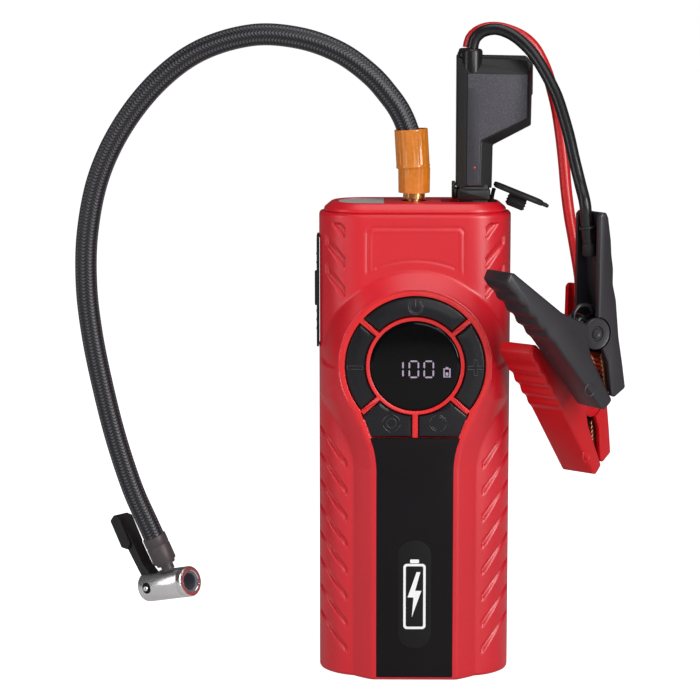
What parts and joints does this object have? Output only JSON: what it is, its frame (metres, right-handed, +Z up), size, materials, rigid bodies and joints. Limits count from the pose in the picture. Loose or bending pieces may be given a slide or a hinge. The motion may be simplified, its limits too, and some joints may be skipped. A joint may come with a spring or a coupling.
{
  "type": "jump starter pack",
  "caption": "Upright two-shell power pack with round keypad and display, air hose with lever chuck, and a plug-in lead module with two spring clamps.",
  "frame": {"origin": "centre of the flat base of the housing", "axes": "+Z up along the housing, -Y out of the keypad, +X towards the lead module"},
  "size_m": [0.245, 0.0991, 0.2938],
  "materials": {
    "red_shell": "satin moulded ABS",
    "black_plastic": "fine spark-eroded texture",
    "gloss_black": "polished",
    "rubber_black": "matt",
    "torch_lens": "frosted",
    "orange_plastic": "translucent, ribbed",
    "brass": "turned and knurled",
    "braid": "braided polyester over rubber",
    "ferrule_rubber": "heat-shrunk",
    "chrome": "satin plated",
    "copper": "copper-plated steel",
    "steel": "bright",
    "board": "fibreglass board",
    "cell_foil": "laminated foil pouch",
    "lead_black": "silicone jacket",
    "lead_red": "silicone jacket",
    "red_clamp": "satin moulded",
    "clear_tube": "silicone",
    "white_plastic": "nylon"
  },
  "bodies": {
    "housing": {"front_shell": "red_shell", "rear_shell": "red_shell", "top_cap": "red_shell", "front_panel": "gloss_black", "panel_badge": "black_plastic", "display_lens": "gloss_black", "display_board": "board", "control_board": "board", "torch_lens": "torch_lens", "torch_board": "board", "jump_socket": "black_plastic", "usb_ports": "black_plastic", "battery_cell_front": "cell_foil", "battery_cell_middle": "cell_foil", "battery_cell_rear": "cell_foil", "pump_motor": "steel", "pump_cylinder": "steel", "air_tube": "clear_tube", "air_outlet": "brass", "case_screws": "steel", "flap_strap": "rubber_black", "hose_barb": "brass", "hose_sleeve": "orange_plastic", "air_hose": "braid", "hose_ferrule": "ferrule_rubber", "chuck_body": "chrome", "chuck_pin": "chrome", "chuck_seal": "rubber_black", "module_front": "black_plastic", "module_rear": "black_plastic", "module_gland": "black_plastic", "module_plug": "black_plastic", "module_contacts": "brass", "module_board": "board", "lead_black": "lead_black", "lead_red": "lead_red", "black_clamp_arm": "black_plastic", "black_arm_jaw": "copper", "black_clamp_pin": "black_plastic", "black_clamp_spring": "steel", "red_clamp_arm": "red_clamp", "red_arm_jaw": "copper", "red_clamp_pin": "red_clamp", "red_clamp_spring": "steel"},
    "power_key": {"power_button": "black_plastic"},
    "minus_key": {"minus_button": "black_plastic"},
    "plus_key": {"plus_button": "black_plastic"},
    "mode_key": {"mode_button": "black_plastic"},
    "lamp_key": {"lamp_button": "black_plastic"},
    "flap": {"port_flap": "rubber_black"},
    "side_cover": {"side_port_cover": "rubber_black"},
    "coupling_nut": {"hose_coupling": "brass"},
    "crank": {"crank_gear": "white_plastic"},
    "pinion": {"motor_pinion": "steel"},
    "piston": {"piston_rod": "white_plastic"},
    "chuck_thumb_lever": {"chuck_lever": "black_plastic"},
    "black_squeeze_lever": {"black_clamp_lever": "black_plastic", "black_lever_jaw": "copper"},
    "red_squeeze_lever": {"red_clamp_lever": "red_clamp", "red_lever_jaw": "copper"}
  },
  "joints": [
    {"name": "power_press", "type": "slide", "parent": "housing", "child": "power_key", "axis": [0, 1, 0], "range_m": [0, 0.0006], "stiffness_N_per_m": 900},
    {"name": "minus_press", "type": "slide", "parent": "housing", "child": "minus_key", "axis": [0, 1, 0], "range_m": [0, 0.0006], "stiffness_N_per_m": 900},
    {"name": "plus_press", "type": "slide", "parent": "housing", "child": "plus_key", "axis": [0, 1, 0], "range_m": [0, 0.0006], "stiffness_N_per_m": 900},
    {"name": "mode_press", "type": "slide", "parent": "housing", "child": "mode_key", "axis": [0, 1, 0], "range_m": [0, 0.0006], "stiffness_N_per_m": 900},
    {"name": "lamp_press", "type": "slide", "parent": "housing", "child": "lamp_key", "axis": [0, 1, 0], "range_m": [0, 0.0006], "stiffness_N_per_m": 900},
    {"name": "flap_fold", "type": "hinge", "parent": "housing", "child": "flap", "pos_m": [0.0356, 0, 0.2208], "axis": [0, 1, 0], "range_deg": [-55, 4]},
    {"name": "side_cover_peel", "type": "hinge", "parent": "housing", "child": "side_cover", "pos_m": [-0.0442, 0.0074, 0.174], "axis": [0, 0, 1], "range_deg": [-115, 0]},
    {"name": "coupling_turn", "type": "hinge", "parent": "housing", "child": "coupling_nut", "pos_m": [-0.0004, 0, 0.218], "axis": [0, 0, 1], "continuous": true},
    {"name": "crank_turn", "type": "hinge", "parent": "housing", "child": "crank", "pos_m": [-0.002, 0, 0.162], "axis": [0, 0, 1], "continuous": true},
    {"name": "pinion_turn", "type": "hinge", "parent": "housing", "child": "pinion", "pos_m": [-0.0176, 0, 0.162], "axis": [0, 0, 1], "continuous": true},
    {"name": "piston_stroke", "type": "slide", "parent": "housing", "child": "piston", "axis": [1, 0, 0], "range_m": [-0.003, 0.004]},
    {"name": "chuck_lever_throw", "type": "hinge", "parent": "housing", "child": "chuck_thumb_lever", "pos_m": [-0.11852, 0.00478, 0.03547], "axis": [-0.6157, -0.788, 0], "range_deg": [0, 70]},
    {"name": "black_clamp_squeeze", "type": "hinge", "parent": "housing", "child": "black_squeeze_lever", "pos_m": [0.0735, -0.0424, 0.1611], "axis": [-0.5299, 0.848, 0], "range_deg": [0, 24], "stiffness_Nm_per_rad": 0.8, "springref_deg": -22.92, "deforming": ["black_clamp_spring"]},
    {"name": "red_clamp_squeeze", "type": "hinge", "parent": "housing", "child": "red_squeeze_lever", "pos_m": [0.0733, -0.0049, 0.1246], "axis": [-0.766, 0.6428, 0], "range_deg": [0, 24], "stiffness_Nm_per_rad": 0.8, "springref_deg": -22.92, "deforming": ["red_clamp_spring"]}
  ],
  "couplings": [
    {"joint": "pinion_turn", "follows": "crank_turn", "ratio": -4}
  ]
}
